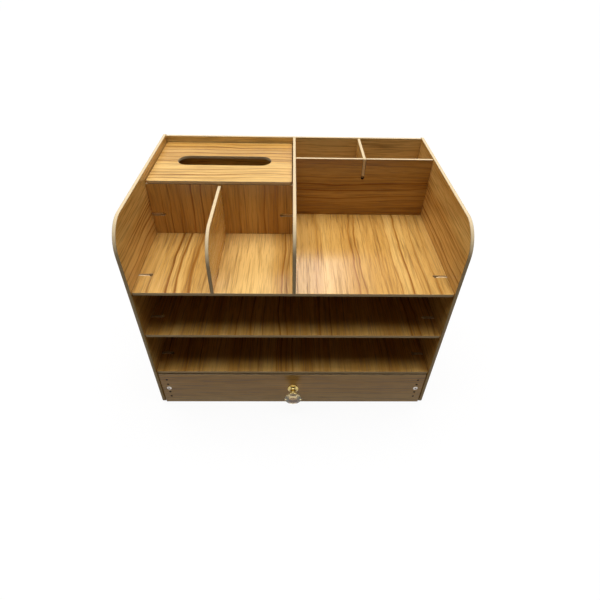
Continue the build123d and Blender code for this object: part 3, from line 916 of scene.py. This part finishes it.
# The pan head in millimetres: how far along from its top, and the radius there.
PAN_PROFILE = (
    (0.0, 0.8), (0.02, 1.6), (0.05, 2.3), (0.14, 2.8), (0.34, 3.2), (0.65, 3.5), (1.1, 3.68),
    (1.6, 3.75), (2.2, 3.75), (2.4, 3.65), (2.4, 1.9),
)
rings = turned_profile(PAN_PROFILE, MACHINE_SCREW_AROUND)
threaded(
    rings, PAN_THICK, MACHINE_SCREW_LENGTH, MACHINE_SCREW_R, MACHINE_ROOT_R, MACHINE_PITCH,
    MACHINE_POINT, MACHINE_SCREW_AROUND,
)
pan_blank = turned_rings(rings, MACHINE_SCREW_AROUND)
pan_headed = cross_recessed(
    pan_blank, PAN_RECESS_WIDE, PAN_RECESS_DEEP, lambda out_from_axis: PAN_TOP,
)
machine_screw = bmesh.new()
machine_screw.from_mesh(pan_headed)
spot = knob_spot("knob_screw") @ Matrix.Rotation(PAN_TURN, 4, "X")
bmesh.ops.transform(machine_screw, matrix=spot, verts=machine_screw.verts)
fixed_metal(
    "knob_screw_threaded", machine_screw, (zinc, recess_shade_zinc), "knob_screw", "drawer",
)

# Floor and light: a plain white floor and three broad soft lights overhead that reach wide to both
# sides. One small lamp behind leaves the glare at the front of the tray, and a little warm light
# comes from all round.
FLOOR_SIZE = 14.0
FLOOR_DROP = 0.0002
FLOOR_BOUNCE = (0.12, 0.10, 0.075, 1)
FLOOR_PALE = (0.90, 0.90, 0.90, 1)
FLOOR_GLOW = 0.92
WHITE = (1, 1, 1, 1)
# The lights overhead: the strength, and how far each leans to one side, in degrees.
CEILING = (("ceiling_middle", 1.85, 0), ("ceiling_left", 1.2, -30), ("ceiling_right", 1.0, 30))
CEILING_BROAD = math.radians(52)
CEILING_TILT = math.radians(-6)
LAMP_SIZE = 0.30
LAMP_STRENGTH = 2.7
LAMP_COLOUR = (1.0, 0.97, 0.94)
LAMP_PLACE = (0.121, 1.07, 1.136)
LAMP_AIM = (0.025, -0.085, 0.185)
ROUND_LEVEL = 0.055
ROUND_WARM = (1.0, 0.82, 0.6, 1)
# Where the mirrored room starts to darken and is darkest overhead and in front, and by how much.
DARK_OVERHEAD = (0.22, 0.50)
DARK_IN_FRONT = (-0.1, -0.5)
OVERHEAD_SHARE = 0.65
IN_FRONT_SHARE = 0.7


def looked_at(tree):
    """1 for rays from the camera, straight or by gloss and glass, and 0 for the light's bounces."""
    path = tree.nodes.new("ShaderNodeLightPath").outputs
    mirrored = maths(tree, "MAXIMUM", path["Is Glossy Ray"], path["Is Transmission Ray"])
    return maths(tree, "MAXIMUM", path["Is Camera Ray"], mirrored)


floor_mesh = bpy.data.meshes.new("floor")
floor_shape = bmesh.new()
bmesh.ops.create_grid(floor_shape, x_segments=1, y_segments=1, size=FLOOR_SIZE / 2)
floor_shape.to_mesh(floor_mesh)
floor_shape.free()
floor = bpy.data.objects.new("floor", floor_mesh)
floor.location.z = -FLOOR_DROP
bpy.context.scene.collection.objects.link(floor)

paper, tree = new_finish("white_floor")
matt = wire(tree, "ShaderNodeBsdfDiffuse", {"Color": FLOOR_BOUNCE}).outputs[0]
pale = wire(tree, "ShaderNodeBsdfDiffuse", {"Color": FLOOR_PALE}).outputs[0]
glow = wire(tree, "ShaderNodeEmission", {"Color": WHITE, "Strength": 1.0}).outputs[0]
bright = wire(tree, "ShaderNodeMixShader", {0: FLOOR_GLOW, 1: pale, 2: glow}).outputs[0]
both = wire(tree, "ShaderNodeMixShader", {0: looked_at(tree), 1: matt, 2: bright}).outputs[0]
out = tree.nodes.new("ShaderNodeOutputMaterial")
tree.links.new(both, out.inputs["Surface"])
floor_mesh.materials.append(paper)

for name, strength, lean in CEILING:
    light = bpy.data.lights.new(name, "SUN")
    light.energy = strength
    light.angle = CEILING_BROAD
    lamp = bpy.data.objects.new(name, light)
    lamp.rotation_euler = (CEILING_TILT, math.radians(lean), 0)
    bpy.context.scene.collection.objects.link(lamp)

rear = bpy.data.lights.new("rear_lamp", "AREA")
rear.shape = "DISK"
rear.size = LAMP_SIZE
rear.energy = LAMP_STRENGTH
rear.color = LAMP_COLOUR
rear_lamp = bpy.data.objects.new("rear_lamp", rear)
rear_lamp.location = LAMP_PLACE
aim = Vector(LAMP_AIM) - rear_lamp.location
rear_lamp.rotation_euler = aim.to_track_quat("-Z", "Y").to_euler()
bpy.context.scene.collection.objects.link(rear_lamp)

world = bpy.data.worlds.new("room")
bpy.context.scene.world = world
world.use_nodes = True
tree = world.node_tree
tree.nodes.clear()
toward = axes(tree, tree.nodes.new("ShaderNodeTexCoord").outputs["Generated"])
overhead = scaled(tree, step_between(tree, toward[Z], *DARK_OVERHEAD), -OVERHEAD_SHARE, 1.0)
in_front = scaled(tree, step_between(tree, toward[Y], *DARK_IN_FRONT), -IN_FRONT_SHARE, 1.0)
direct = tree.nodes.new("ShaderNodeLightPath").outputs["Is Camera Ray"]
backdrop = maths(tree, "MAXIMUM", maths(tree, "MULTIPLY", overhead, in_front), direct)
seen = looked_at(tree)
feeds = {"Value": seen, "To Min": ROUND_LEVEL, "To Max": backdrop}
level = wire(tree, "ShaderNodeMapRange", feeds).outputs["Result"]
warmth = tint(tree, seen, ROUND_WARM, WHITE)
sky = wire(tree, "ShaderNodeBackground", {"Color": warmth, "Strength": level})
out = tree.nodes.new("ShaderNodeOutputWorld")
tree.links.new(sky.outputs[0], out.inputs["Surface"])

# Camera: close above the front of the object, looking down on it, as the picture was taken.
# It leans a little to one side and has no shift.
CAMERA_SENSOR = 36.0
CAMERA_LENS = 25.565
CAMERA_PLACE = (-0.002598, -0.423721, 0.462127)
CAMERA_TURN = (48.2993, -0.9953, -0.6593)
camera = bpy.data.cameras.new("camera")
camera.sensor_width = CAMERA_SENSOR
camera.lens = CAMERA_LENS
camera_stand = bpy.data.objects.new("camera", camera)
camera_stand.location = CAMERA_PLACE
camera_stand.rotation_euler = [math.radians(angle) for angle in CAMERA_TURN]
bpy.context.scene.collection.objects.link(camera_stand)
bpy.context.scene.camera = camera_stand
bpy.context.scene.view_settings.view_transform = "Standard"
